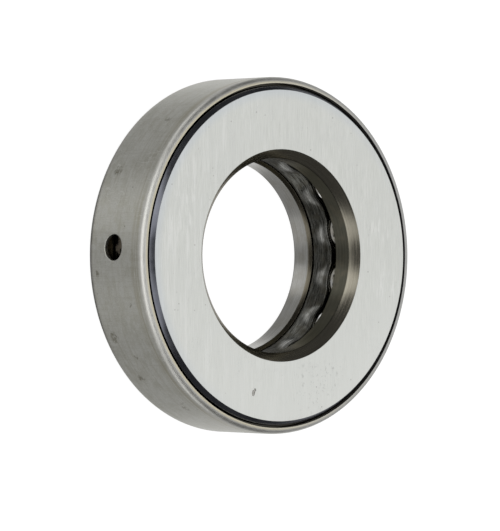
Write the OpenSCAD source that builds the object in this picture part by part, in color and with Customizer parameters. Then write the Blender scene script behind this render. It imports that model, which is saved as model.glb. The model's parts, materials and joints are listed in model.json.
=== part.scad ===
// Single-direction thrust ball bearing, held together by a thin steel band.
// Frame: millimetres, +Z is the bearing's axis and points out of the front washer's ground face.
// The origin is on the axis, in the plane of the rear washer's back face.
// The band and the rear washer stand still. The front washer turns in the band's rolled lip.

/* [Bearing] */
// Bore diameter of both washers (1 1/4 in)
bore_d = 31.75; // [31:0.05:32.5]
// Height over the two ground faces (5/8 in)
height = 15.875; // [15.7:0.005:16.2]

/* [Balls] */
// Ball diameter (5/16 in)
ball_d = 7.9375; // [7.5:0.0125:8]
// Number of balls
ball_count = 15; // [12:1:15]
// Radius of the circle that the ball centres run on
pitch_r = 21.4; // [21.3:0.05:21.6]

/* [Washers] */
// Thickness of each washer at its race shoulders
washer_t = 4.95; // [4.8:0.05:5.1]
// Groove radius as a share of the ball diameter
groove_share = 0.535; // [0.52:0.005:0.56]
// Gap between a ball and the bottom of each groove
race_gap = 0.04; // [0.02:0.01:0.1]
// Chamfer between the front washer's face and its bore
front_bore_chamfer = 1.425; // [0.8:0.025:1.5]
// Chamfer between the rear washer's face and its bore
rear_bore_chamfer = 1.02; // [0.6:0.02:1.4]
// Chamfer at the bore on the race side of both washers
race_chamfer = 0.5; // [0.2:0.05:0.6]
// Outer radius of the front washer's flat face
face_r = 26.95; // [26.5:0.05:27]
// Chamfer between that face and the washer's neck
face_chamfer = 0.66; // [0.3:0.02:0.8]
// Chamfer at the outer edge on the race side of both washers
shoulder_chamfer = 0.4; // [0.2:0.05:0.6]

/* [Band] */
// Outside diameter of the band
band_od = 58.2; // [58:0.05:58.6]
// Thickness of the band's sheet steel
band_t = 0.75; // [0.6:0.05:0.8]
// Outside radius of the bend into the front lip
lip_bend_r = 1.15; // [1.1:0.05:1.3]
// Angle through which the front lip is rolled in
lip_angle = 84; // [75:1:90]
// Depth of the lip's top edge below the front face
lip_drop = 0.48; // [0.4:0.02:0.6]
// Outside radius of the bend into the rear flange
flange_bend_r = 2.0; // [1.6:0.1:2.2]
// Height of the rear flange above the back face
flange_rise = 0.8; // [0.6:0.05:0.9]
// Radius of the opening in the rear flange
flange_open_r = 25.6; // [25:0.1:26.4]
// Diameter of the oil hole in the band
oil_hole_d = 4.2; // [3:0.1:5]
// Direction of the oil hole about the axis
oil_hole_angle = 177.5; // [170:0.5:190]

/* [Cage] */
// Thickness of the cage's sheet steel
cage_t = 0.5; // [0.4:0.05:0.5]
// Gap between a ball and its pocket
pocket_gap = 0.12; // [0.1:0.01:0.15]
// Inner radius of the cage between two pockets
cage_inner_r = 17.4; // [17.35:0.05:17.6]
// Outer radius of the cage between two pockets
cage_outer_r = 25.4; // [25.2:0.05:25.5]
// Spread of each wall from the web to its foot
wall_spread = 1.0; // [0.8:0.05:1.1]
// Height of the cage's web above the ball centres
web_rise = 0.65; // [0.5:0.05:0.9]
// Gap between the cage's walls and the rear washer
wall_gap = 0.3; // [0.2:0.05:0.6]
// Depth below the ball centres at which the walls start to swell
swelling_depth = 0.7; // [0.5:0.1:1]

/* [Fits] */
// Radial running gap between the front washer and the band
running_gap = 0.1; // [0.05:0.01:0.1]
// Gap between the front lip and the washer's shoulder
lip_gap = 0.35; // [0.2:0.05:0.4]
// Gap between the rear flange and the rear washer's step
step_gap = 0.3; // [0.2:0.05:0.4]

/* [Hidden] */
$fn = 96;
bore_r = bore_d / 2;
ball_r = ball_d / 2;
mid_z = height / 2;
ball_pitch_angle = 360 / ball_count;
first_ball_angle = ball_pitch_angle / 2;

groove_r = groove_share * ball_d;
groove_bottom_z = mid_z - ball_r - race_gap;

band_r = band_od / 2;
band_inner_r = band_r - band_t;
// The band's outline starts its turn here, a quarter circle away from the oil hole
band_seam_angle = oil_hole_angle - 90;
// The oil hole's cutter reaches from well inside the band's wall to well outside it
cutter_start_r = band_r - 4 * band_t;
cutter_length = 6 * band_t;
neck_r = face_r + face_chamfer;
lip_bend_z = height - lip_drop - lip_bend_r * sin(lip_angle);
lip_under_z = lip_bend_z + (lip_bend_r - band_t) * sin(lip_angle);
shoulder_z = lip_under_z - lip_gap;
shoulder_r = band_inner_r - running_gap;
shoulder_top_chamfer = 0.2;

flange_bend_z = flange_rise + flange_bend_r;
flange_bend_centre_r = band_r - flange_bend_r;
flange_top_z = flange_rise + band_t;
step_r = flange_open_r - step_gap;
step_chamfer = 0.4;

pocket_r = ball_r + pocket_gap;
bulge_r = pocket_r + cage_t;
web_top_z = mid_z + web_rise;
web_bottom_z = web_top_z - cage_t;
wall_bottom_z = washer_t + wall_gap;
swelling_z = mid_z - swelling_depth;

arc_steps = 12;

function ball_angle(i) = first_ball_angle + (i - 1) * ball_pitch_angle;
function ball_name(i) = str("ball_", i < 10 ? "0" : "", i);
function arc(centre, r, from, to) = [
    for (s = [0:arc_steps])
        let (a = from + (to - from) * s / arc_steps)
        centre + r * [cos(a), sin(a)]
];

// A flat ring between two radii
module ring_plan(inner_r, outer_r) {
    difference() {
        circle(r = outer_r);
        circle(r = inner_r);
    }
}

// Half-section of the drawn sheet-steel band: rear flange, straight wall and rolled front lip
module band_section() {
    lip_centre = [band_r - lip_bend_r, lip_bend_z];
    flange_centre = [flange_bend_centre_r, flange_bend_z];
    polygon(concat(
        [[flange_open_r, flange_rise]],
        arc(flange_centre, flange_bend_r, -90, 0),
        arc(lip_centre, lip_bend_r, 0, lip_angle),
        arc(lip_centre, lip_bend_r - band_t, lip_angle, 0),
        arc(flange_centre, flange_bend_r - band_t, 0, -90),
        [[flange_open_r, flange_top_z]]
    ));
}

module band() {
    color([0.52, 0.52, 0.50])
        difference() {
            rotate([0, 0, band_seam_angle]) rotate_extrude() band_section();
            translate([0, 0, mid_z])
                rotate([0, 90, oil_hole_angle])
                translate([0, 0, cutter_start_r])
                cylinder(d = oil_hole_d, h = cutter_length);
        }
}

// Stationary washer: its back outer corner is stepped to take the band's flange
module rear_washer_section() {
    difference() {
        polygon(concat(
            [
                [bore_r + rear_bore_chamfer, 0],
                [step_r - step_chamfer, 0],
                [step_r, step_chamfer],
                [step_r, flange_top_z]
            ],
            arc([flange_bend_centre_r, flange_bend_z], flange_bend_r - band_t, -90, 0),
            [
                [band_inner_r, washer_t - shoulder_chamfer],
                [band_inner_r - shoulder_chamfer, washer_t],
                [bore_r + race_chamfer, washer_t],
                [bore_r, washer_t - race_chamfer],
                [bore_r, rear_bore_chamfer]
            ]
        ));
        translate([pitch_r, groove_bottom_z + groove_r]) circle(r = groove_r);
    }
}

module rear_washer() {
    color([0.62, 0.62, 0.60]) rotate_extrude() rear_washer_section();
}

// Turning washer: a neck below its face leaves room for the band's lip, which laps over its shoulder
module front_washer_section() {
    race_z = height - washer_t;
    difference() {
        polygon([
            [bore_r + race_chamfer, race_z],
            [shoulder_r - shoulder_chamfer, race_z],
            [shoulder_r, race_z + shoulder_chamfer],
            [shoulder_r, shoulder_z - shoulder_top_chamfer],
            [shoulder_r - shoulder_top_chamfer, shoulder_z],
            [neck_r, shoulder_z],
            [neck_r, height - face_chamfer],
            [face_r, height],
            [bore_r + front_bore_chamfer, height],
            [bore_r, height - front_bore_chamfer],
            [bore_r, race_z + race_chamfer]
        ]);
        translate([pitch_r, height - groove_bottom_z - groove_r]) circle(r = groove_r);
    }
}

module front_washer() {
    color([0.80, 0.81, 0.80]) rotate_extrude() front_washer_section();
}

// One circle of radius r round each ball
module ball_circles(r) {
    for (i = [1:ball_count])
        rotate([0, 0, ball_angle(i)]) translate([pitch_r, 0]) circle(r = r);
}

// Half-section of the cage before its pockets: a channel whose walls spread towards their feet
module channel_section() {
    polygon([
        [cage_inner_r - wall_spread, wall_bottom_z],
        [cage_inner_r, web_top_z],
        [cage_outer_r, web_top_z],
        [cage_outer_r + wall_spread, wall_bottom_z],
        [cage_outer_r + wall_spread - cage_t, wall_bottom_z],
        [cage_outer_r - cage_t, web_bottom_z],
        [cage_inner_r + cage_t, web_bottom_z],
        [cage_inner_r - wall_spread + cage_t, wall_bottom_z]
    ]);
}

// Outline of the swellings that carry both walls round each ball
module swelling_plan() {
    difference() {
        ball_circles(bulge_r);
        ring_plan(cage_inner_r + cage_t / 2, cage_outer_r - cage_t / 2);
    }
}

// Pressed cage: one channel, swollen round the balls, with a pocket for each
module cage() {
    color([0.24, 0.235, 0.23])
        difference() {
            union() {
                rotate_extrude() channel_section();
                translate([0, 0, swelling_z])
                    linear_extrude(web_top_z - swelling_z) swelling_plan();
            }
            translate([0, 0, washer_t]) linear_extrude(height) ball_circles(pocket_r);
        }
}

module ball(i) {
    color([0.78, 0.78, 0.78])
        rotate([0, 0, ball_angle(i)])
        translate([pitch_r, 0, mid_z])
        sphere(r = ball_r);
}

band();
rear_washer();
front_washer();
cage();
for (i = [1:ball_count])
    ball(i);
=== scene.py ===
"""Looks of a banded thrust ball bearing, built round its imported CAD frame.

Everything is in metres in the CAD frame: +Z is the bearing's axis, out of the front washer's face.
The visible washers, band, cage and balls are detailed meshes that stand for the CAD nodes.
"""

import json
import math

import bmesh
import bpy
from mathutils import Matrix, Vector, noise


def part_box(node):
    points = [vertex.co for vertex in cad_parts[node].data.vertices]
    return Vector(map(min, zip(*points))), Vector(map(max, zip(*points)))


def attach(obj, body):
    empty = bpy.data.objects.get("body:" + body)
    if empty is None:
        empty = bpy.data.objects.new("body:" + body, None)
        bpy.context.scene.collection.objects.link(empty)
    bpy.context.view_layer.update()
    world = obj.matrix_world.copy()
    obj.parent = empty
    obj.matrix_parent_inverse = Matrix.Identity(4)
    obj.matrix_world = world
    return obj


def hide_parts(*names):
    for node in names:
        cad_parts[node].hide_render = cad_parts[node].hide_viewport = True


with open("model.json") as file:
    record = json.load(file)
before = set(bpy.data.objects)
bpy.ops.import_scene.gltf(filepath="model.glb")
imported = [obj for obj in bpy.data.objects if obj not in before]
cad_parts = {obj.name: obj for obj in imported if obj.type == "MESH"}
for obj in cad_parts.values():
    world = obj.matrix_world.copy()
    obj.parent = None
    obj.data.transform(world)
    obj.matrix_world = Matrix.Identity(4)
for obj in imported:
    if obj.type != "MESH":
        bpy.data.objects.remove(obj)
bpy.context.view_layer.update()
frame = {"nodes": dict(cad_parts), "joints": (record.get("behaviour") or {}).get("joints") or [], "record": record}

MM = 0.001

# ---------------------------------------------------------------- sizes, from the frame
mounts = {m["name"]: m for m in frame["record"]["mounts"]}
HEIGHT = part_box("front_washer")[1].z
BORE_R = mounts["shaft_seat"]["dims"]["r_mm"] * MM
BAND_R = mounts["band_outside"]["dims"]["r_mm"] * MM
BAND_LOW, BAND_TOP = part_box("band")[0].z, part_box("band")[1].z
BAND_T = mounts["oil_hole"]["dims"]["length_mm"] * MM
BAND_IN_R = BAND_R - BAND_T
OIL_HOLE_R = mounts["oil_hole"]["dims"]["r_mm"] * MM
OIL_HOLE_Z = mounts["oil_hole"]["pos_m"][2]
OIL_HOLE_ANGLE = math.atan2(mounts["oil_hole"]["axis"][1], mounts["oil_hole"]["axis"][0])
REAR_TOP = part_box("rear_washer")[1].z
FRONT_RACE_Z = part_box("front_washer")[0].z
SHOULDER_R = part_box("front_washer")[1].x
CAGE_LOW, CAGE_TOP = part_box("cage")[0].z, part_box("cage")[1].z

balls = sorted(n for n in frame["nodes"] if n.startswith("ball_"))
roll_joints = {j["child"]: j for j in frame["joints"] if j["child"] in balls}
BALL_R = (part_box(balls[0])[1].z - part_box(balls[0])[0].z) / 2
BALL_Z = roll_joints[balls[0]]["pos_m"][2]
PITCH_R = math.hypot(*roll_joints[balls[0]]["pos_m"][:2])
BALL_PITCH = 2 * math.pi / len(balls)
FIRST_BALL = math.atan2(roll_joints[balls[0]]["pos_m"][1], roll_joints[balls[0]]["pos_m"][0])

# ---------------------------------------------------------------- sizes of the visible detail
FACE_R = 26.95 * MM
FACE_CHAMFER = 0.66 * MM
NECK_R = FACE_R + FACE_CHAMFER
# The height of the shoulder that the band's lip laps over
SHOULDER_Z = 14.30 * MM
FRONT_BORE_CHAMFER = 1.425 * MM
REAR_BORE_CHAMFER = 1.02 * MM
RACE_CHAMFER = 0.5 * MM
SHOULDER_CHAMFER = 0.4 * MM
GROOVE_R = 0.535 * 2 * BALL_R
RACE_GAP = 0.04 * MM
LIP_BEND_R = 1.15 * MM
LIP_ANGLE = math.radians(84)
FLANGE_BEND_R = 2.0 * MM
FLANGE_OPEN_R = 25.6 * MM
STEP_R = 25.3 * MM
CAGE_T = 0.5 * MM
EDGE_R = 0.06 * MM
REAR_BORE_EDGE_R = 0.35 * MM

POCKET_GAP = 0.12 * MM
CAGE_BEND_R = 0.3 * MM
CAGE_INNER_R = 17.4 * MM
CAGE_OUTER_R = 25.4 * MM
CAGE_WALL_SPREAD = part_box("cage")[1].x - CAGE_OUTER_R
CAGE_BULGE_R = BALL_R + POCKET_GAP + CAGE_T

WASHER_SEGMENTS = 480
BAND_SEGMENTS = 600
# The longest stretch between two points of a washer's section
LONGEST_SIDE = 1.0 * MM
# Corners that turn by less than this are left as they are
LEAST_TURN = math.radians(2)
# The most of each side that a rounded corner may take
CORNER_SHARE = 0.45


# ---------------------------------------------------------------- mesh helpers
def arc(centre, radius, start, end, steps):
    """Points (r, z) along an arc, angles in radians."""
    return [
        (centre[0] + radius * math.cos(start + (end - start) * i / steps),
         centre[1] + radius * math.sin(start + (end - start) * i / steps))
        for i in range(steps + 1)
    ]


def round_corner(before, corner, after, radius, steps=4):
    """The arc that rounds a corner between two straight sides."""
    a, b, c = Vector(before), Vector(corner), Vector(after)
    to_a, to_c = (a - b).normalized(), (c - b).normalized()
    half = to_a.angle(to_c) / 2
    if math.pi - 2 * half < LEAST_TURN:
        return [tuple(b)]
    longest = CORNER_SHARE * min((a - b).length, (c - b).length)
    reach = min(radius / math.tan(half), longest)
    radius = reach * math.tan(half)
    centre = b + (to_a + to_c).normalized() * (radius / math.sin(half))
    start = b + to_a * reach - centre
    end = b + to_c * reach - centre
    turn = math.atan2(start.x * end.y - start.y * end.x, start.dot(end))
    first = math.atan2(start.y, start.x)
    return [
        (centre.x + radius * math.cos(first + turn * i / steps),
         centre.y + radius * math.sin(first + turn * i / steps))
        for i in range(steps + 1)
    ]


def rounded(outline, longest):
    """A closed outline of (r, z, corner radius or 0), with its corners rounded and long sides divided."""
    corners = []
    for i, (r, z, radius) in enumerate(outline):
        if radius:
            before = outline[i - 1][:2]
            after = outline[(i + 1) % len(outline)][:2]
            corners += round_corner(before, (r, z), after, radius)
        else:
            corners.append((r, z))
    out = []
    for i, (r, z) in enumerate(corners):
        next_r, next_z = corners[(i + 1) % len(corners)]
        steps = max(1, round(math.hypot(next_r - r, next_z - z) / longest))
        out += [(r + (next_r - r) * s / steps, z + (next_z - z) * s / steps) for s in range(steps)]
    return out


def finish_mesh(name, mesh_data, body, node, weighted=True):
    """Makes the object from a bmesh, shades it smooth, and gives it to its body in place of its node."""
    bmesh.ops.recalc_face_normals(mesh_data, faces=mesh_data.faces)
    mesh = bpy.data.meshes.new(name)
    mesh_data.to_mesh(mesh)
    mesh_data.free()
    mesh.polygons.foreach_set("use_smooth", [True] * len(mesh.polygons))
    piece = bpy.data.objects.new(name, mesh)
    bpy.context.scene.collection.objects.link(piece)
    if weighted:
        piece.modifiers.new("Face weighted normals", "WEIGHTED_NORMAL").keep_sharp = True
    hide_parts(node)
    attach(piece, body)
    return piece


def revolve(outline, segments, first=0.0):
    """A closed outline turned round the axis: the bmesh, and its vertices as one list per segment."""
    made = bmesh.new()
    sections = []
    for s in range(segments):
        angle = first + 2 * math.pi * s / segments
        x, y = math.cos(angle), math.sin(angle)
        sections.append([made.verts.new((r * x, r * y, z)) for r, z in outline])
    for s in range(segments):
        here, there = sections[s], sections[(s + 1) % segments]
        for k in range(len(outline)):
            after = (k + 1) % len(outline)
            made.faces.new((here[k], there[k], there[after], here[after]))
    return made, sections


def join_rings(made, rings):
    """Faces between each closed ring of vertices and the next."""
    for here, there in zip(rings, rings[1:]):
        for k in range(len(here)):
            after = (k + 1) % len(here)
            made.faces.new((here[k], here[after], there[after], there[k]))


# ---------------------------------------------------------------- washers
GROOVE_STEPS = 24
FLANGE_SEAT_STEPS = 10
# Pits in the front face, in millimetres: X, Y, length along Y, width along X, and depth
PITS = [
    (-6.2, -22.2, 1.15, 0.60, 0.15),
    (-5.9, -21.75, 0.50, 0.50, 0.10),
    (8.0, -22.6, 0.40, 0.25, 0.03),
    (-17.9, 17.0, 0.45, 0.30, 0.03),
]
# The face is divided finely round a pit, twice: within each of these distances
PIT_REACHES = (1.6 * MM, 1.0 * MM)
PIT_RAGGEDNESS = 0.35
PIT_RAGGED_SCALE = 3500
FACE_TOLERANCE = 0.001 * MM


def groove(race_z, towards):
    """Section of the ball groove, from its inner to its outer edge.

    towards is 1 where the washer lies below the balls, and -1 where it lies above them.
    """
    bottom = BALL_Z - towards * (BALL_R + RACE_GAP)
    centre = (PITCH_R, bottom + towards * GROOVE_R)
    half = towards * math.acos(abs(centre[1] - race_z) / GROOVE_R)
    straight = -towards * math.pi / 2
    return arc(centre, GROOVE_R, straight - half, straight + half, GROOVE_STEPS)


def front_washer_outline():
    grooved = [(r, z, 0) for r, z in groove(FRONT_RACE_Z, -1)]
    return [
        (BORE_R + FRONT_BORE_CHAMFER, HEIGHT, EDGE_R),
        (BORE_R, HEIGHT - FRONT_BORE_CHAMFER, EDGE_R),
        (BORE_R, FRONT_RACE_Z + RACE_CHAMFER, EDGE_R),
        (BORE_R + RACE_CHAMFER, FRONT_RACE_Z, EDGE_R),
        *grooved,
        (SHOULDER_R - SHOULDER_CHAMFER, FRONT_RACE_Z, EDGE_R),
        (SHOULDER_R, FRONT_RACE_Z + SHOULDER_CHAMFER, EDGE_R),
        (SHOULDER_R, SHOULDER_Z, 2 * EDGE_R),
        (NECK_R, SHOULDER_Z, 2 * EDGE_R),
        (NECK_R, HEIGHT - FACE_CHAMFER, EDGE_R),
        (FACE_R, HEIGHT, EDGE_R),
    ]


def rear_washer_outline():
    grooved = [(r, z, 0) for r, z in reversed(groove(REAR_TOP, 1))]
    flange_top = BAND_LOW + BAND_T
    bend_centre = (BAND_R - FLANGE_BEND_R, BAND_LOW + FLANGE_BEND_R)
    bend = arc(bend_centre, FLANGE_BEND_R - BAND_T, -math.pi / 2, 0, FLANGE_SEAT_STEPS)
    return [
        (BORE_R + REAR_BORE_CHAMFER, 0, EDGE_R),
        (STEP_R - SHOULDER_CHAMFER, 0, EDGE_R),
        (STEP_R, SHOULDER_CHAMFER, EDGE_R),
        (STEP_R, flange_top, EDGE_R),
        *[(r, z, 0) for r, z in bend],
        (BAND_IN_R, REAR_TOP - SHOULDER_CHAMFER, EDGE_R),
        (BAND_IN_R - SHOULDER_CHAMFER, REAR_TOP, EDGE_R),
        *grooved,
        (BORE_R + RACE_CHAMFER, REAR_TOP, EDGE_R),
        (BORE_R, REAR_TOP - RACE_CHAMFER, EDGE_R),
        (BORE_R, REAR_BORE_CHAMFER, REAR_BORE_EDGE_R),
    ]


def divide_face(made, centre, reach):
    """Divides the front face finely within reach of a place on it."""
    near = []
    for face in made.faces:
        middle = face.calc_center_median()
        if middle.z > HEIGHT - FACE_TOLERANCE and (middle - centre).length < reach:
            near.append(face)
    edges = list(dict.fromkeys(edge for face in near for edge in face.edges))
    bmesh.ops.subdivide_edges(made, edges=edges, cuts=2, use_grid_fill=True)


def pit_face(made):
    """Presses the pits into the front face."""
    for x, y, length, width, depth in PITS:
        centre = Vector((x * MM, y * MM, HEIGHT))
        for reach in PIT_REACHES:
            divide_face(made, centre, reach)
        for v in made.verts:
            if abs(v.co.z - HEIGHT) > FACE_TOLERANCE or (v.co - centre).length > length * MM:
                continue
            across = (v.co.x - centre.x) / (width * MM / 2)
            along = (v.co.y - centre.y) / (length * MM / 2)
            ragged = 1 + PIT_RAGGEDNESS * noise.noise(v.co * PIT_RAGGED_SCALE)
            away = math.hypot(along, across) * ragged
            if away < 1:
                v.co.z -= depth * MM * (1 - away * away)


def make_front_washer():
    made, _sections = revolve(rounded(front_washer_outline(), LONGEST_SIDE), WASHER_SEGMENTS)
    pit_face(made)
    return finish_mesh("front_washer_steel", made, "front_washer", "front_washer")


def make_rear_washer():
    made, _sections = revolve(rounded(rear_washer_outline(), LONGEST_SIDE), WASHER_SEGMENTS)
    return finish_mesh("rear_washer_steel", made, "banded_washer", "rear_washer")


# ---------------------------------------------------------------- band
# The walls are gridded, and a window of the grid round the oil hole makes way for rings round the hole
WINDOW_HALF = 3.3 * MM
WINDOW_ROWS = 16
WINDOW_COLUMNS = 10
# How far each ring of vertices lies on the way from the window's edge to the hole's
WINDOW_SHARES = (0.2, 0.4, 0.58, 0.74, 0.87, 1.0)
HOLE_EDGE_R = 0.16 * MM
HOLE_EDGE_STEPS = 5
HOLE_RADIAL = Vector((math.cos(OIL_HOLE_ANGLE), math.sin(OIL_HOLE_ANGLE), 0))
HOLE_ACROSS = Vector((-math.sin(OIL_HOLE_ANGLE), math.cos(OIL_HOLE_ANGLE), 0))

OUTER_BEND_STEPS = 14
INNER_BEND_STEPS = 10
WALL_STEP = 0.4 * MM
LIP_TIP_R = 0.22 * MM
SHEET_EDGE_R = 0.12 * MM

# Dents in the band: degrees round the axis, then height, radius and depth in millimetres
DENTS = [
    (207, 4.4, 1.3, 0.080), (214, 7.8, 0.7, 0.070), (223, 5.6, 1.0, 0.060), (196, 10.9, 0.6, 0.040),
    (186, 3.6, 0.8, 0.035), (238, 9.6, 0.9, 0.035), (152, 5.2, 1.2, 0.030), (131, 9.8, 0.9, 0.030),
    (72, 6.4, 1.1, 0.040), (20, 9.0, 0.8, 0.035), (318, 5.0, 1.0, 0.040), (284, 10.2, 0.7, 0.035),
]
BAND_WAVE = 0.030 * MM
BAND_WAVE_SCALE = 150
LIP_WAVE = 0.045 * MM
LIP_WAVE_SCALE = 9
LIP_LEAN = 0.16 * MM
LIP_TIP_DEPTH = 0.5 * MM


def between(z_from, z_to, radius):
    """Points up or down a wall, without its ends."""
    count = max(1, round(abs(z_to - z_from) / WALL_STEP))
    return [(radius, z_from + (z_to - z_from) * i / count) for i in range(1, count)]


def band_outline():
    """Closed section of the band, and the indices of the window rows on its outer and inner wall."""
    lip_z = BAND_TOP - LIP_BEND_R * math.sin(LIP_ANGLE)
    lip_centre = (BAND_R - LIP_BEND_R, lip_z)
    lip_out = arc(lip_centre, LIP_BEND_R, 0, LIP_ANGLE, OUTER_BEND_STEPS)
    lip_in = arc(lip_centre, LIP_BEND_R - BAND_T, LIP_ANGLE, 0, INNER_BEND_STEPS)
    bend_centre = (BAND_R - FLANGE_BEND_R, BAND_LOW + FLANGE_BEND_R)
    outer_bend = arc(bend_centre, FLANGE_BEND_R, -math.pi / 2, 0, OUTER_BEND_STEPS)
    inner_bend = arc(bend_centre, FLANGE_BEND_R - BAND_T, 0, -math.pi / 2, INNER_BEND_STEPS)
    flange_low = (FLANGE_OPEN_R, BAND_LOW)
    flange_high = (FLANGE_OPEN_R, BAND_LOW + BAND_T)
    row_step = 2 * WINDOW_HALF / WINDOW_ROWS
    rows = [OIL_HOLE_Z - WINDOW_HALF + row_step * i for i in range(WINDOW_ROWS + 1)]

    out = round_corner(flange_high, flange_low, outer_bend[0], SHEET_EDGE_R)
    out += outer_bend
    out += between(outer_bend[-1][1], rows[0], BAND_R)
    outer_rows = len(out)
    out += [(BAND_R, z) for z in rows]
    out += between(rows[-1], lip_z, BAND_R)
    out += lip_out[:-1]
    out += round_corner(lip_out[-2], lip_out[-1], lip_in[0], LIP_TIP_R, 5)
    out += round_corner(lip_out[-1], lip_in[0], lip_in[1], SHEET_EDGE_R)
    out += lip_in[1:]
    out += between(lip_z, rows[-1], BAND_IN_R)
    inner_rows = len(out)
    out += [(BAND_IN_R, z) for z in reversed(rows)]
    out += between(rows[0], inner_bend[0][1], BAND_IN_R)
    out += inner_bend
    out += round_corner(inner_bend[-1], flange_high, flange_low, SHEET_EDGE_R)
    return out, outer_rows, inner_rows


def cut_window(made, sections, first_row):
    """Takes the window's faces out of one wall."""
    faces = []
    for column in range(-WINDOW_COLUMNS, WINDOW_COLUMNS):
        here = sections[column % BAND_SEGMENTS]
        there = sections[(column + 1) % BAND_SEGMENTS]
        for row in range(first_row, first_row + WINDOW_ROWS):
            corners = (here[row], there[row], there[row + 1], here[row + 1])
            faces += [face for face in here[row].link_faces if all(v in corners for v in face.verts)]
    bmesh.ops.delete(made, geom=faces, context="FACES")


def window_loop(sections, first_row, upwards):
    """The vertices round the window on one wall, anticlockwise from outside, from its lower corner."""
    columns = range(-WINDOW_COLUMNS, WINDOW_COLUMNS + 1)

    def at(column, row):
        k = first_row + (row if upwards else WINDOW_ROWS - row)
        return sections[column % BAND_SEGMENTS][k]

    loop = [at(column, 0) for column in columns]
    loop += [at(WINDOW_COLUMNS, row) for row in range(1, WINDOW_ROWS + 1)]
    loop += [at(column, WINDOW_ROWS) for column in reversed(columns[:-1])]
    loop += [at(-WINDOW_COLUMNS, row) for row in range(WINDOW_ROWS - 1, 0, -1)]
    return loop


def ring_round_hole(made, loop, radius, depth, share=1.0):
    """New vertices, a share of the way from a loop to a circle round the hole, below the band's outside."""
    ring = []
    wall_r = BAND_R - depth
    for v in loop:
        flat = Vector((v.co.dot(HOLE_ACROSS), v.co.z - OIL_HOLE_Z))
        flat = flat.lerp(flat.normalized() * radius, share)
        out = math.sqrt(wall_r * wall_r - flat.x * flat.x)
        place = HOLE_RADIAL * out + HOLE_ACROSS * flat.x + Vector((0, 0, OIL_HOLE_Z + flat.y))
        ring.append(made.verts.new(place))
    return ring


def line_hole(made, outer_loop, inner_loop):
    """Joins both walls through the oil hole, with rounded edges."""
    wide_r = OIL_HOLE_R + HOLE_EDGE_R
    rings = [outer_loop]
    rings += [ring_round_hole(made, outer_loop, wide_r, 0, share) for share in WINDOW_SHARES]
    for i in range(1, HOLE_EDGE_STEPS + 1):
        turn = math.pi / 2 * i / HOLE_EDGE_STEPS
        radius = OIL_HOLE_R + HOLE_EDGE_R * (1 - math.sin(turn))
        rings.append(ring_round_hole(made, outer_loop, radius, HOLE_EDGE_R * (1 - math.cos(turn))))
    rings.append(ring_round_hole(made, outer_loop, OIL_HOLE_R, BAND_T / 2))
    for i in range(HOLE_EDGE_STEPS):
        turn = math.pi / 2 * i / HOLE_EDGE_STEPS
        radius = OIL_HOLE_R + HOLE_EDGE_R * (1 - math.cos(turn))
        depth = BAND_T - HOLE_EDGE_R * (1 - math.sin(turn))
        rings.append(ring_round_hole(made, outer_loop, radius, depth))
    inside = [ring_round_hole(made, inner_loop, wide_r, BAND_T, share) for share in WINDOW_SHARES]
    rings += reversed(inside)
    rings.append(inner_loop)
    join_rings(made, rings)


def dent_centre(angle, height):
    """The place on the band's outside at an angle in degrees and a height in millimetres."""
    turn = math.radians(angle)
    return Vector((BAND_R * math.cos(turn), BAND_R * math.sin(turn), height * MM))


def wear_band(made):
    """Presses the drawn wall in slightly here and there, and makes the rolled lip a little uneven."""
    dents = [(dent_centre(angle, z), radius * MM, depth * MM) for angle, z, radius, depth in DENTS]
    for v in made.verts:
        radial = Vector((v.co.x, v.co.y, 0)).normalized()
        wave = noise.noise(Vector((v.co.x, v.co.y, 0.6 * v.co.z)) * BAND_WAVE_SCALE)
        inward = BAND_WAVE * (0.5 + 0.5 * wave)
        for centre, radius, depth in dents:
            away = (v.co - centre).length / radius
            if away < 1:
                inward += depth * (1 - away * away) ** 2
        lip_share = max(0, (v.co.z - BAND_TOP + LIP_BEND_R) / LIP_BEND_R)
        past_bend = (BAND_R - LIP_TIP_DEPTH - math.hypot(v.co.x, v.co.y)) / LIP_TIP_DEPTH
        inward += LIP_LEAN * lip_share * min(1, max(0, past_bend)) * max(0, radial.x) ** 2
        v.co -= radial * inward
        v.co.z -= LIP_WAVE * lip_share ** 2 * (0.5 + 0.5 * noise.noise(radial * LIP_WAVE_SCALE))


def make_band():
    outline, outer_rows, inner_rows = band_outline()
    made, sections = revolve(outline, BAND_SEGMENTS, OIL_HOLE_ANGLE)
    cut_window(made, sections, outer_rows)
    cut_window(made, sections, inner_rows)
    outer_loop = window_loop(sections, outer_rows, True)
    inner_loop = window_loop(sections, inner_rows, False)
    line_hole(made, outer_loop, inner_loop)
    wear_band(made)
    return finish_mesh("band_steel", made, "banded_washer", "band")


# ---------------------------------------------------------------- cage
WALL_COLUMNS = 28
WALL_ROWS = 8
WALL_INSIDE_ROWS = 5
BEND_STEPS = 6
SIDE_STEPS = 6
# How far each ring of the web's vertices lies on the way from the cell's edge to its pocket
WEB_SHARES = (0.12, 0.35, 0.65, 1.0)
POCKET_R = BALL_R + 0.09 * MM
SWELLING_BLEND = 0.55 * MM
CAGE_WEB_LOW = CAGE_TOP - CAGE_T
CAGE_BEND_LOW = CAGE_TOP - CAGE_BEND_R
WELD_DISTANCE = 0.002 * MM
CAGE_WAVE = 0.03 * MM
CAGE_WAVE_SCALE = 120


def smooth_least(a, b, blend):
    """The smaller of two lengths, with the change from one to the other rounded off."""
    overlap = max(blend - abs(a - b), 0) / blend
    return min(a, b) - overlap * overlap * blend / 4


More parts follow.
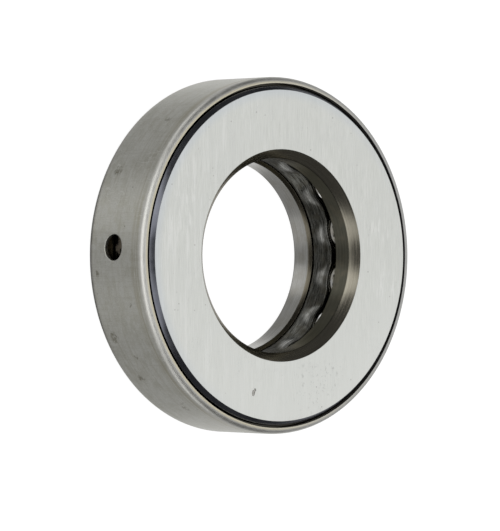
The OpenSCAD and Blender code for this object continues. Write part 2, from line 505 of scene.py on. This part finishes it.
def cage_wall_r(angle, z, side):
    """Radius of the channel's outer surface, at an angle from the ball.

    side is -1 on its inner wall and 1 on its outer wall.
    """
    drop = (CAGE_TOP - z) / (CAGE_TOP - CAGE_LOW)
    plain_r = (CAGE_INNER_R if side < 0 else CAGE_OUTER_R) + side * drop * CAGE_WALL_SPREAD
    across = PITCH_R * math.sin(angle)
    if abs(across) >= CAGE_BULGE_R:
        return plain_r
    bulge_r = PITCH_R * math.cos(angle) + side * math.sqrt(CAGE_BULGE_R ** 2 - across ** 2)
    return -side * smooth_least(-side * plain_r, -side * bulge_r, SWELLING_BLEND)


def cage_section(angle, side):
    """The bent sheet: from the web's top over the bend, down the wall, and up again to the web."""
    bend_r = cage_wall_r(angle, CAGE_BEND_LOW, side)
    points = []
    for i in range(BEND_STEPS + 1):
        turn = math.pi / 2 * i / BEND_STEPS
        points.append((bend_r - side * CAGE_BEND_R * (1 - math.sin(turn)),
                       CAGE_TOP - CAGE_BEND_R * (1 - math.cos(turn))))
    for i in range(1, WALL_ROWS + 1):
        z = CAGE_BEND_LOW + (CAGE_LOW + EDGE_R - CAGE_BEND_LOW) * i / WALL_ROWS
        points.append((cage_wall_r(angle, z, side), z))
    foot_r = points[-1][0]
    points.append((foot_r - side * EDGE_R, CAGE_LOW))
    points.append((foot_r - side * (CAGE_T - EDGE_R), CAGE_LOW))
    for i in range(WALL_INSIDE_ROWS + 1):
        z = CAGE_LOW + EDGE_R + (CAGE_WEB_LOW - CAGE_LOW - EDGE_R) * i / WALL_INSIDE_ROWS
        points.append((cage_wall_r(angle, z, side) - side * CAGE_T, z))
    return points


def make_cell(made, middle):
    """One cell of the cage, round the ball at an angle: two bent walls, and a web with a round pocket."""
    turn = Matrix.Rotation(middle, 3, "Z")
    half = BALL_PITCH / 2
    angles = [-half + 2 * half * i / WALL_COLUMNS for i in range(WALL_COLUMNS + 1)]

    def vertex(angle, radius, z):
        return made.verts.new(turn @ Vector((radius * math.cos(angle), radius * math.sin(angle), z)))

    def web_side(angle, end, z):
        """Vertices along the cell's side from the inner to the outer wall, without its ends."""
        inner, outer = cage_section(angle, -1)[end][0], cage_section(angle, 1)[end][0]
        return [vertex(angle, inner + (outer - inner) * i / SIDE_STEPS, z) for i in range(1, SIDE_STEPS)]

    walls = {}
    for side in (-1, 1):
        walls[side] = [[vertex(angle, r, z) for r, z in cage_section(angle, side)] for angle in angles]
        for here, there in zip(walls[side], walls[side][1:]):
            for k in range(len(here) - 1):
                made.faces.new((here[k], there[k], there[k + 1], here[k + 1]))

    pocket = []
    for end, z in ((0, CAGE_TOP), (-1, CAGE_WEB_LOW)):
        loop = [column[end] for column in walls[-1]]
        loop += web_side(half, end, z)
        loop += [column[end] for column in reversed(walls[1])]
        loop += reversed(web_side(-half, end, z))
        centre = turn @ Vector((PITCH_R, 0, z))
        rings = [loop]
        for share in WEB_SHARES:
            edge = [centre + (v.co - centre).normalized() * POCKET_R for v in loop]
            rings.append([made.verts.new(v.co.lerp(place, share)) for v, place in zip(loop, edge)])
        join_rings(made, rings)
        pocket.append(rings[-1])
    join_rings(made, pocket)


def make_cage():
    """One pressed cell per ball, welded to the next, and then made slightly uneven."""
    made = bmesh.new()
    for n in range(len(balls)):
        make_cell(made, FIRST_BALL + n * BALL_PITCH)
    bmesh.ops.remove_doubles(made, verts=made.verts[:], dist=WELD_DISTANCE)
    for v in made.verts:
        radial = Vector((v.co.x, v.co.y, 0)).normalized()
        v.co += radial * CAGE_WAVE * noise.noise(v.co * CAGE_WAVE_SCALE)
    return finish_mesh("cage_steel", made, "cage", "cage")


# ---------------------------------------------------------------- balls
BALL_CUTS = 14


def make_ball(node):
    """A ball of even quads: a divided cube pushed out on to the sphere."""
    made = bmesh.new()
    bmesh.ops.create_cube(made, size=2)
    bmesh.ops.subdivide_edges(made, edges=made.edges[:], cuts=BALL_CUTS, use_grid_fill=True)
    joint = roll_joints[node]
    centre = Vector(joint["pos_m"])
    for v in made.verts:
        bent = Vector([math.tan(c * math.pi / 4) for c in v.co])
        v.co = centre + bent.normalized() * BALL_R
    return finish_mesh(node + "_polished", made, joint["child"], node, weighted=False)


front_washer = make_front_washer()
rear_washer = make_rear_washer()
band = make_band()
cage = make_cage()
ball_pieces = [make_ball(n) for n in balls]


# ---------------------------------------------------------------- material helpers
class Look:
    """One metal's node tree. Places and lengths in it are in millimetres, in the piece's own space."""

    def __init__(self, name):
        self.material = bpy.data.materials.new(name)
        self.material.use_nodes = True
        self.tree = self.material.node_tree
        self.shader = self.tree.nodes["Principled BSDF"]
        self.shader.inputs["Metallic"].default_value = 1
        metres = self.node("ShaderNodeTexCoord").outputs["Object"]
        self.place = self.stretch(1 / MM, 1 / MM, 1 / MM, metres)
        self.x, self.y, self.z = self.node("ShaderNodeSeparateXYZ", {"Vector": self.place}).outputs
        flat = self.stretch(1, 1, 0)
        self.r = self.node("ShaderNodeVectorMath", {0: flat}, operation="LENGTH").outputs["Value"]

    def node(self, kind, inputs=None, **settings):
        """A new node, with its settings made and each input linked or set."""
        made = self.tree.nodes.new(kind)
        for key, value in settings.items():
            setattr(made, key, value)
        for key, value in (inputs or {}).items():
            if isinstance(value, bpy.types.NodeSocket):
                self.tree.links.new(value, made.inputs[key])
            else:
                made.inputs[key].default_value = value
        return made

    def math(self, operation, a, b=0.0):
        return self.node("ShaderNodeMath", {0: a, 1: b}, operation=operation).outputs[0]

    def stretch(self, x, y, z, vector=None):
        """The place, or another vector, multiplied by x, y and z. Small factors stretch a noise on it."""
        vector = vector or self.place
        return self.node("ShaderNodeVectorMath", {0: vector, 1: (x, y, z)},
                         operation="MULTIPLY").outputs[0]

    def noise(self, vector, scale, detail, roughness=0.55):
        inputs = {"Vector": vector, "Scale": scale, "Detail": detail, "Roughness": roughness}
        return self.node("ShaderNodeTexNoise", inputs).outputs[0]

    def turned_lines(self, closeness):
        """Fine lines round the axis, as a lathe leaves them."""
        around = self.node("ShaderNodeCombineXYZ", {
            "X": self.math("MULTIPLY", self.x, 0.09),
            "Y": self.math("MULTIPLY", self.y, 0.09),
            "Z": self.math("MULTIPLY", self.math("ADD", self.r, self.z), closeness)}).outputs[0]
        return self.noise(around, 1, 5, 0.7)

    def rise(self, value, middle, reach, low=0.0, high=1.0):
        """Goes smoothly from low to high as the value passes the middle."""
        return self.node("ShaderNodeMapRange", {
            "Value": value, "From Min": middle - reach, "From Max": middle + reach,
            "To Min": low, "To Max": high}, interpolation_type="SMOOTHSTEP").outputs[0]

    def both(self, *masks):
        """The product of masks, or of a mask and its strength."""
        out = masks[0]
        for mask in masks[1:]:
            out = self.math("MULTIPLY", out, mask)
        return out

    def mix(self, share, a, b):
        """A colour between two colours."""
        inputs = {0: share,
                  6: a if isinstance(a, bpy.types.NodeSocket) else (*a, 1),
                  7: b if isinstance(b, bpy.types.NodeSocket) else (*b, 1)}
        return self.node("ShaderNodeMix", inputs, data_type="RGBA").outputs[2]

    def near(self, centre, radius):
        """1 within half the radius of a place given in millimetres, and 0 beyond the radius."""
        away = self.node("ShaderNodeVectorMath", {0: self.place, 1: tuple(centre)}, operation="DISTANCE")
        return self.rise(away.outputs["Value"], 0.75 * radius, 0.25 * radius, 1, 0)

    def specks(self, scale, size, spread):
        """Small round marks, in patches: 1 on a mark and 0 elsewhere."""
        cells = self.node("ShaderNodeTexVoronoi", {"Vector": self.place, "Scale": scale})
        spot = self.rise(cells.outputs["Distance"], size, 0.4 * size, 1, 0)
        return self.both(spot, self.rise(self.noise(self.place, 0.4 * scale, 2), spread, 0.03))

    def scratches(self, turn, width, length, spread):
        """Thin straight marks, in patches: 1 on a mark and 0 elsewhere."""
        turned = self.node("ShaderNodeVectorRotate", {"Vector": self.place, "Angle": turn},
                           rotation_type="Z_AXIS").outputs[0]
        field = self.noise(self.stretch(1 / width, 1 / length, 1 / length, turned), 1, 1)
        near = self.math("ABSOLUTE", self.math("SUBTRACT", field, 0.5))
        thin = self.rise(near, 0.012, 0.010, 1, 0)
        return self.both(thin, self.rise(self.noise(self.place, 0.35, 2), spread, 0.04))

    def finish(self, colour, roughness, *bumps):
        """Joins the colour, the roughness and (height, depth in mm) bumps to the shader."""
        self.tree.links.new(colour, self.shader.inputs["Base Color"])
        self.tree.links.new(roughness, self.shader.inputs["Roughness"])
        normal = {}
        for height, depth in bumps:
            bump = self.node("ShaderNodeBump", {"Height": height, "Distance": depth * MM, **normal})
            normal = {"Normal": bump.outputs["Normal"]}
        self.tree.links.new(normal["Normal"], self.shader.inputs["Normal"])
        return self.material


# ---------------------------------------------------------------- materials
def band_look():
    """Satin drawn sheet, mottled warm grey: a patchy darker band below the lip, scratched, and darkened round its
    dents; painted highlights on the lip and painted shade inside.
    """
    look = Look("drawn_band_steel")
    top, outside_r = BAND_TOP / MM, BAND_R / MM
    blotch = look.noise(look.place, 0.20, 4, 0.6)
    mottle = look.noise(look.stretch(0.55, 0.55, 0.9), 1, 6, 0.70)
    grain = look.noise(look.place, 6, 5, 0.70)
    rub_marks_and_sheen = look.noise(look.stretch(0.06, 0.06, 2.4), 1, 5, 0.62)
    drawn = look.noise(look.stretch(3.2, 3.2, 0.10), 1, 4, 0.6)
    colour = look.mix(look.rise(mottle, 0.5, 0.16), (0.53, 0.525, 0.46), (0.65, 0.65, 0.605))
    colour = look.mix(look.rise(blotch, 0.52, 0.12, 0, 0.5), colour, (0.66, 0.66, 0.615))
    colour = look.mix(look.rise(drawn, 0.58, 0.10, 0, 0.30), colour, (0.47, 0.46, 0.40))
    colour = look.mix(look.rise(rub_marks_and_sheen, 0.58, 0.08, 0, 0.30), colour, (0.44, 0.42, 0.34))
    colour = look.mix(look.rise(grain, 0.60, 0.10, 0, 0.45), colour, (0.40, 0.39, 0.34))
    colour = look.mix(look.rise(grain, 0.40, 0.08, 0.35, 0), colour, (0.78, 0.78, 0.74))
    marks = look.scratches(0.5, 0.08, 4, 0.55)
    cross = look.scratches(-0.9, 0.07, 3, 0.58)
    colour = look.mix(look.both(marks, 0.45), colour, (0.84, 0.84, 0.80))
    colour = look.mix(look.both(cross, 0.45), colour, (0.34, 0.33, 0.28))
    dirt = look.specks(0.55, 0.07, 0.58)
    colour = look.mix(look.both(dirt, 0.8), colour, (0.16, 0.14, 0.10))
    ragged = look.rise(look.noise(look.stretch(1.1, 1.1, 1.6), 1, 4, 0.75), 0.51, 0.05, 0, 0.8)
    # Each dent is darkened in a ragged patch.
    for angle, z, radius, _depth in DENTS:
        stain = look.both(look.near(dent_centre(angle, z) / MM, radius), ragged)
        colour = look.mix(stain, colour, (0.25, 0.235, 0.18))
    # A patchy darker brown band just below the lip.
    beside_lip = look.both(look.rise(look.z, top - 2.8, 0.7), look.rise(look.z, top - 1.5, 0.5, 1, 0))
    darker_band_below_lip = look.both(beside_lip, look.rise(rub_marks_and_sheen, 0.47, 0.10))
    colour = look.mix(look.both(darker_band_below_lip, 0.55), colour, (0.40, 0.37, 0.27))
    on_lip = look.rise(look.z, top - 0.9, 0.5)
    # Painted highlight: the lip is near-white on the -X side, fading to grey towards +X.
    lip_colour_with_painted_highlight = look.mix(look.rise(look.x, 6, 18), (0.97, 0.965, 0.92), (0.50, 0.50, 0.49))
    colour = look.mix(look.both(on_lip, look.rise(mottle, 0.5, 0.3, 0.75, 0.95)), colour, lip_colour_with_painted_highlight)
    # Painted highlight: a warm cream line along the lip's inner edge, on the -X side only.
    warm_painted_highlight_edge = look.both(look.rise(look.r, outside_r - 0.7, 0.12, 1, 0),
                           look.rise(look.z, top - 0.5, 0.15), look.rise(look.x, 6, 20, 1, 0))
    colour = look.mix(look.both(warm_painted_highlight_edge, 0.8), colour, (0.74, 0.68, 0.50))
    # Painted shade: the band's inner wall and the inside of the lip are darkened to near-black.
    shade_under_lip = look.both(look.rise(look.r, outside_r - 0.5, 0.15, 1, 0),
                       look.rise(look.z, top - 0.65, 0.15, 1, 0))
    colour = look.mix(look.both(shade_under_lip, 0.8), colour, (0.08, 0.07, 0.05))
    rough = look.rise(mottle, 0.5, 0.3, 0.32, 0.42)
    rough = look.math("ADD", rough, look.rise(grain, 0.6, 0.2, 0, 0.07))
    rough = look.math("ADD", rough, look.both(on_lip, 0.08))
    return look.finish(colour, rough, (mottle, 0.014), (grain, 0.003), (rub_marks_and_sheen, 0.004), (drawn, 0.004),
                       (marks, 0.002))


# Places on the front face, in millimetres, with how far each reaches: faint dark wear, and light nicks
FACE_WEAR = [((6.5, -21.5), 5.5), ((10.5, -20.0), 3.5)]
FACE_NICKS = [((-20.5, 10.5), 3.2), ((-21.5, 5.5), 3.5), ((23.5, -5.5), 3.6), ((21.5, 4.0), 3.0)]


def ground_face_colour(look, lines, cloud):
    """Straight grinding lines with brighter and duller streaks, wear, nicks, dots and scratches."""
    streaks = look.noise(look.stretch(1.3, 0.09, 0.09), 1, 4, 0.6)
    face = look.mix(look.rise(lines, 0.5, 0.16), (0.70, 0.715, 0.675), (0.86, 0.872, 0.835))
    face = look.mix(look.rise(cloud, 0.5, 0.2, 0, 0.5), face, (0.78, 0.795, 0.765))
    # Real grinding streaks, brightened more on the -X side as painted sheen.
    left_sheen_share = look.rise(look.x, -8, 14, 1, 0.35)
    light_streaks = look.both(look.rise(streaks, 0.58, 0.07, 0, 0.5), left_sheen_share)
    face = look.mix(light_streaks, face, (0.92, 0.925, 0.90))
    face = look.mix(look.rise(streaks, 0.40, 0.06, 0.2, 0), face, (0.68, 0.69, 0.66))
    # Painted highlight: a brighter glare across the lower right of the face.
    slanted = look.math("ADD", look.x, look.math("MULTIPLY", look.y, -1.2))
    painted_glare = look.both(look.rise(slanted, 38, 10), look.rise(cloud, 0.5, 0.2, 0.4, 1))
    face = look.mix(look.both(painted_glare, 0.4), face, (0.90, 0.91, 0.88))
    # Painted light: the face grows brighter towards -Y.
    face = look.mix(look.rise(look.y, -10, 18, 0.45, 0), face, (0.88, 0.895, 0.86))
    # Painted reflection: a cool blue tint on the face's outer rim, on the -X, +Y side.
    blue_reflection_side = look.rise(look.math("SUBTRACT", look.x, look.y), 0, 26, 1, 0)
    painted_blue_reflection = look.both(look.rise(look.r, FACE_R / MM - 0.95, 0.9, 0, 0.5), blue_reflection_side)
    face = look.mix(painted_blue_reflection, face, (0.66, 0.71, 0.765))
    worn = look.rise(look.noise(look.stretch(1.4, 0.9, 1), 1, 5, 0.78), 0.595, 0.03, 0, 0.36)
    for centre, reach in FACE_WEAR:
        there = look.near((*centre, HEIGHT / MM), reach)
        face = look.mix(look.both(there, worn), face, (0.40, 0.41, 0.39))
    nicks = look.rise(look.noise(look.stretch(2.4, 0.28, 1), 1, 3, 0.6), 0.58, 0.06)
    for centre, reach in FACE_NICKS:
        there = look.near((*centre, HEIGHT / MM), reach)
        face = look.mix(look.both(there, nicks, 0.4), face, (1, 1, 0.98))
    dots = look.specks(0.75, 0.10, 0.56)
    face = look.mix(look.both(dots, 0.6), face, (0.42, 0.41, 0.39))
    marks = look.scratches(0.35, 0.07, 3, 0.57)
    return look.mix(look.both(marks, 0.4), face, (0.55, 0.56, 0.56))


def turned_front_colour(look, turned_lines):
    """Everything but the ground face: the hardened bore, its bright edge, the rim and the inner side."""
    top, bore_r = HEIGHT / MM, BORE_R / MM
    rim = look.mix(look.rise(turned_lines, 0.5, 0.2), (0.20, 0.21, 0.25), (0.30, 0.31, 0.35))
    # Painted shade: the neck down in the slit under the band's lip is darkened to near-black.
    shade_in_gap = look.rise(look.z, top - 0.725, 0.12, 1, 0)
    rim = look.mix(look.both(shade_in_gap, 0.9), rim, (0.05, 0.045, 0.03))
    bore_edge = look.mix(look.rise(turned_lines, 0.5, 0.2), (0.38, 0.35, 0.28), (0.52, 0.49, 0.40))
    bore = look.mix(look.rise(turned_lines, 0.5, 0.25), (0.075, 0.073, 0.055), (0.13, 0.127, 0.10))
    stain = look.noise(look.place, 0.5, 5, 0.6)
    bore = look.mix(look.rise(stain, 0.58, 0.1, 0, 0.4), bore, (0.17, 0.15, 0.11))
    inside = look.mix(look.rise(turned_lines, 0.5, 0.25), (0.40, 0.39, 0.36), (0.56, 0.55, 0.52))
    high = look.rise(look.z, top - 2.9, 0.2)
    on_rim = look.both(look.rise(look.r, FACE_R / MM - 0.25, 0.1), high)
    near_bore = look.both(look.rise(look.r, (BORE_R + FRONT_BORE_CHAMFER) / MM + 0.1, 0.05, 1, 0), high)
    on_wall = look.rise(look.r, bore_r + 0.075, 0.03, 1, 0)
    colour = look.mix(on_rim, inside, rim)
    colour = look.mix(near_bore, colour, bore_edge)
    return look.mix(on_wall, colour, bore)


def front_washer_look():
    """Straight ground lines on the face, fine turned lines elsewhere, and a dark hardened bore."""
    look = Look("ground_front_washer_steel")
    cloud = look.noise(look.place, 0.13, 4, 0.6)
    lines = look.noise(look.stretch(11, 0.32, 0.32), 1, 5, 0.72)
    turned_lines = look.turned_lines(6)
    on_face = look.rise(look.z, HEIGHT / MM - 0.03, 0.02)
    off_face = look.math("SUBTRACT", 1, on_face)
    rest = turned_front_colour(look, turned_lines)
    colour = look.mix(on_face, rest, ground_face_colour(look, lines, cloud))
    rough_face = look.both(on_face, look.rise(lines, 0.5, 0.25, 0.28, 0.40))
    rough_rest = look.both(off_face, look.rise(turned_lines, 0.5, 0.25, 0.16, 0.27))
    rough = look.math("ADD", rough_face, rough_rest)
    look.shader.inputs["Specular Tint"].default_value = (0.5, 0.49, 0.47, 1)
    ground = look.both(on_face, lines)
    turned = look.both(off_face, turned_lines)
    return look.finish(colour, rough, (ground, 0.002), (turned, 0.003), (cloud, 0.02))


def rear_washer_look():
    """Turned and hardened bore, a bright inner edge, and a ground back face."""
    look = Look("turned_rear_washer_steel")
    turned_lines = look.turned_lines(5)
    ground_lines = look.noise(look.stretch(0.22, 11, 0.22), 1, 5, 0.7)
    stain = look.noise(look.place, 0.4, 5, 0.6)
    bore = look.mix(look.rise(turned_lines, 0.5, 0.22), (0.36, 0.355, 0.33), (0.54, 0.535, 0.51))
    bore = look.mix(look.rise(stain, 0.55, 0.12, 0, 0.4), bore, (0.33, 0.31, 0.26))
    edge = look.mix(look.rise(turned_lines, 0.5, 0.22), (0.13, 0.115, 0.08), (0.27, 0.245, 0.19))
    back = look.mix(look.rise(ground_lines, 0.5, 0.2), (0.70, 0.70, 0.69), (0.80, 0.80, 0.79))
    back = look.mix(look.rise(stain, 0.6, 0.1, 0, 0.3), back, (0.60, 0.59, 0.56))
    raceway = look.rise(look.z, REAR_TOP / MM - 0.55, 0.1)
    off_wall = look.rise(look.r, BORE_R / MM + 0.025, 0.03)
    on_back = look.rise(look.z, 0.03, 0.02, 1, 0)
    colour = look.mix(look.both(raceway, off_wall), bore, edge)
    colour = look.mix(on_back, colour, back)
    rough = look.rise(turned_lines, 0.5, 0.25, 0.15, 0.26)
    ground = look.both(on_back, ground_lines)
    return look.finish(colour, rough, (turned_lines, 0.003), (ground, 0.003), (stain, 0.01))


def cage_look():
    """Dark pressing, partly oil and partly painted shade, with drawing streaks, a painted highlight where it
    swells, and greased on its outer wall.
    """
    look = Look("oiled_and_shaded_cage_steel")
    streaks = look.noise(look.stretch(0.45, 0.45, 5), 1, 5, 0.75)
    film = look.noise(look.place, 0.6, 5, 0.6)
    grain = look.noise(look.place, 7, 4, 0.6)
    # Near-black base: partly oil, and partly painted shade of the narrow space between the washers.
    colour = look.mix(look.rise(streaks, 0.5, 0.12), (0.03, 0.03, 0.025), (0.165, 0.165, 0.15))
    slope = CAGE_WALL_SPREAD / (CAGE_TOP - CAGE_LOW)
    plain_r = look.math("ADD", look.math("MULTIPLY", look.z, slope), (CAGE_INNER_R - CAGE_TOP * slope) / MM)
    proud = look.math("SUBTRACT", plain_r, look.r)
    # Painted highlight: the inner wall is made bright where it swells towards the axis round each ball, most below
    # mid-height.
    rub_marks_and_sheen = look.both(look.rise(proud, 0.12, 0.12), look.rise(look.z, CAGE_TOP / MM - 1.04, 0.5, 1, 0.12))
    bright = look.mix(look.rise(streaks, 0.5, 0.12), (0.36, 0.36, 0.33), (0.80, 0.80, 0.77))
    colour = look.mix(rub_marks_and_sheen, colour, bright)
    colour = look.mix(look.rise(film, 0.55, 0.12, 0, 0.5), colour, (0.10, 0.09, 0.065))
    colour = look.mix(look.rise(grain, 0.62, 0.08, 0, 0.45), colour, (0.05, 0.048, 0.04))
    outside = look.rise(look.r, CAGE_OUTER_R / MM - 1.4, 0.5)
    greased = look.both(outside, look.rise(film, 0.47, 0.06))
    colour = look.mix(greased, colour, (0.20, 0.17, 0.13))
    rough = look.rise(film, 0.5, 0.25, 0.20, 0.36)
    look.tree.links.new(look.rise(greased, 0.5, 0.5, 1, 0), look.shader.inputs["Metallic"])
    return look.finish(colour, rough, (streaks, 0.012), (film, 0.02), (grain, 0.003))


def ball_look():
    """Mirror-polished, with hair lines from running and a faint smear of oil."""
    look = Look("polished_ball_steel")
    smear = look.noise(look.place, 0.5, 4, 0.6)
    hair = look.noise(look.stretch(9, 0.5, 9), 1, 4, 0.7)
    colour = look.mix(look.rise(smear, 0.55, 0.15), (0.74, 0.74, 0.735), (0.66, 0.63, 0.56))
    colour = look.mix(look.rise(hair, 0.66, 0.06, 0, 0.3), colour, (0.52, 0.52, 0.52))
    rough = look.rise(smear, 0.55, 0.2, 0.04, 0.13)
    return look.finish(colour, rough, (hair, 0.0006), (smear, 0.002))


band.data.materials.append(band_look())
front_washer.data.materials.append(front_washer_look())
rear_washer.data.materials.append(rear_washer_look())
cage.data.materials.append(cage_look())
polished = ball_look()
for piece in ball_pieces:
    piece.data.materials.append(polished)


# ---------------------------------------------------------------- stage
FLOOR_HALF = 3
# How brightly the metal sees the room
ROOM = 0.36
# What it sees in each direction: (direction, inner and outer half-angle in degrees, brightness).
# Each patch is laid over the room and the patches before it.
PATCHES = [
    ((0.55, 0, 0.83), 30, 62, 0.80),
    ((0.78, 0.04, -0.62), 22, 50, 0.92),
    ((0.98, 0, -0.12), 6, 14, 0.95),
    ((0.28, 0.93, 0.23), 25, 42, 0.06),
    ((0.28, -0.93, 0.23), 25, 42, 0.06),
    ((-0.42, 0.75, 0.50), 14, 28, 0.05),
    ((-0.42, -0.75, 0.50), 14, 28, 0.05),
    ((-0.20, 0.96, -0.30), 8, 22, 0.90),
    ((-0.20, -0.96, -0.30), 8, 22, 0.90),
    ((0.72, 0.55, -0.42), 8, 20, 0.68),
    ((0.72, -0.55, -0.42), 8, 20, 0.85),
    ((-0.93, 0, 0.36), 14, 24, 1.30),
    ((-0.82, 0.48, 0.30), 14, 24, 1.30),
    ((-0.82, -0.48, 0.30), 14, 24, 1.10),
    ((-0.69, 0, 0.70), 8, 18, 0.05),
    ((-0.67, 0.36, 0.64), 5, 12, 0.90),
    ((-0.67, -0.36, 0.64), 4, 11, 0.66),
    ((-0.57, 0.33, -0.753), 8, 15, 0.80),
    ((-0.57, -0.33, -0.753), 8, 15, 0.58),
    ((0, 0, -1), 12, 32, 0.10),
]


def make_floor():
    """A white floor that the camera sees, and that the metal doesn't mirror."""
    made = bmesh.new()
    bmesh.ops.create_grid(made, x_segments=1, y_segments=1, size=FLOOR_HALF)
    mesh = bpy.data.meshes.new("floor")
    made.to_mesh(mesh)
    made.free()
    floor = bpy.data.objects.new("floor", mesh)
    bpy.context.scene.collection.objects.link(floor)
    floor.visible_glossy = False
    material = bpy.data.materials.new("pale_floor")
    material.use_nodes = True
    shader = material.node_tree.nodes["Principled BSDF"]
    shader.inputs["Base Color"].default_value = (0.25, 0.25, 0.25, 1)
    shader.inputs["Roughness"].default_value = 1
    shader.inputs["Specular IOR Level"].default_value = 0
    shader.inputs["Emission Color"].default_value = (1, 1, 1, 1)
    shader.inputs["Emission Strength"].default_value = 0.96
    mesh.materials.append(material)


def lay_patch(nodes, links, direction, below, patch):
    """Lays one soft-edged patch over the brightness below it, and returns the new brightness."""
    towards_patch, inner, outer, brightness = patch
    aim = nodes.new("ShaderNodeVectorMath")
    aim.operation = "DOT_PRODUCT"
    aim.inputs[1].default_value = Vector(towards_patch).normalized()
    links.new(direction, aim.inputs[0])
    share = nodes.new("ShaderNodeMapRange")
    share.interpolation_type = "SMOOTHSTEP"
    share.inputs["From Min"].default_value = math.cos(math.radians(outer))
    share.inputs["From Max"].default_value = math.cos(math.radians(inner))
    links.new(aim.outputs["Value"], share.inputs["Value"])
    laid = nodes.new("ShaderNodeMix")
    laid.data_type = "FLOAT"
    laid.inputs[3].default_value = brightness
    links.new(share.outputs[0], laid.inputs[0])
    links.new(below, laid.inputs[2])
    return laid.outputs[0]


def make_studio():
    """A grey room with light and dark patches for the metal, and plain white for the camera."""
    world = bpy.data.worlds.new("studio")
    bpy.context.scene.world = world
    world.use_nodes = True
    nodes, links = world.node_tree.nodes, world.node_tree.links
    direction = nodes.new("ShaderNodeTexCoord").outputs["Generated"]
    room = nodes.new("ShaderNodeValue")
    room.outputs[0].default_value = ROOM
    level = room.outputs[0]
    for patch in PATCHES:
        level = lay_patch(nodes, links, direction, level, patch)
    lit = nodes["Background"]
    lit.inputs["Color"].default_value = (1, 1, 1, 1)
    links.new(level, lit.inputs["Strength"])
    seen = nodes.new("ShaderNodeBackground")
    seen.inputs["Color"].default_value = (1, 1, 1, 1)
    seen.inputs["Strength"].default_value = 1
    ray = nodes.new("ShaderNodeLightPath")
    choice = nodes.new("ShaderNodeMixShader")
    links.new(ray.outputs["Is Camera Ray"], choice.inputs[0])
    links.new(lit.outputs[0], choice.inputs[1])
    links.new(seen.outputs[0], choice.inputs[2])
    links.new(choice.outputs[0], nodes["World Output"].inputs["Surface"])


make_floor()
make_studio()
bpy.context.scene.view_settings.view_transform = "Standard"

# ---------------------------------------------------------------- camera
# The view is turned from the bearing's axis towards -X by this angle, and +Y is up in it
VIEW_ANGLE = math.radians(41.17)
VIEW_DISTANCE = 658.7 * MM
VIEW_LENS_MM = 274.6
VIEW_ASIDE = -5.27 * MM
VIEW_BELOW = -1.63 * MM

towards_camera = Vector((-math.sin(VIEW_ANGLE), 0, math.cos(VIEW_ANGLE)))
picture_right = Vector((math.cos(VIEW_ANGLE), 0, math.sin(VIEW_ANGLE)))
picture_up = Vector((0, 1, 0))
camera_data = bpy.data.cameras.new("camera")
camera_data.lens = VIEW_LENS_MM
camera = bpy.data.objects.new("camera", camera_data)
bpy.context.scene.collection.objects.link(camera)
camera.location = (Vector((0, 0, HEIGHT)) + towards_camera * VIEW_DISTANCE
                   + picture_right * VIEW_ASIDE + picture_up * VIEW_BELOW)
camera.rotation_euler = Matrix((picture_right, picture_up, towards_camera)).transposed().to_euler()
bpy.context.scene.camera = camera
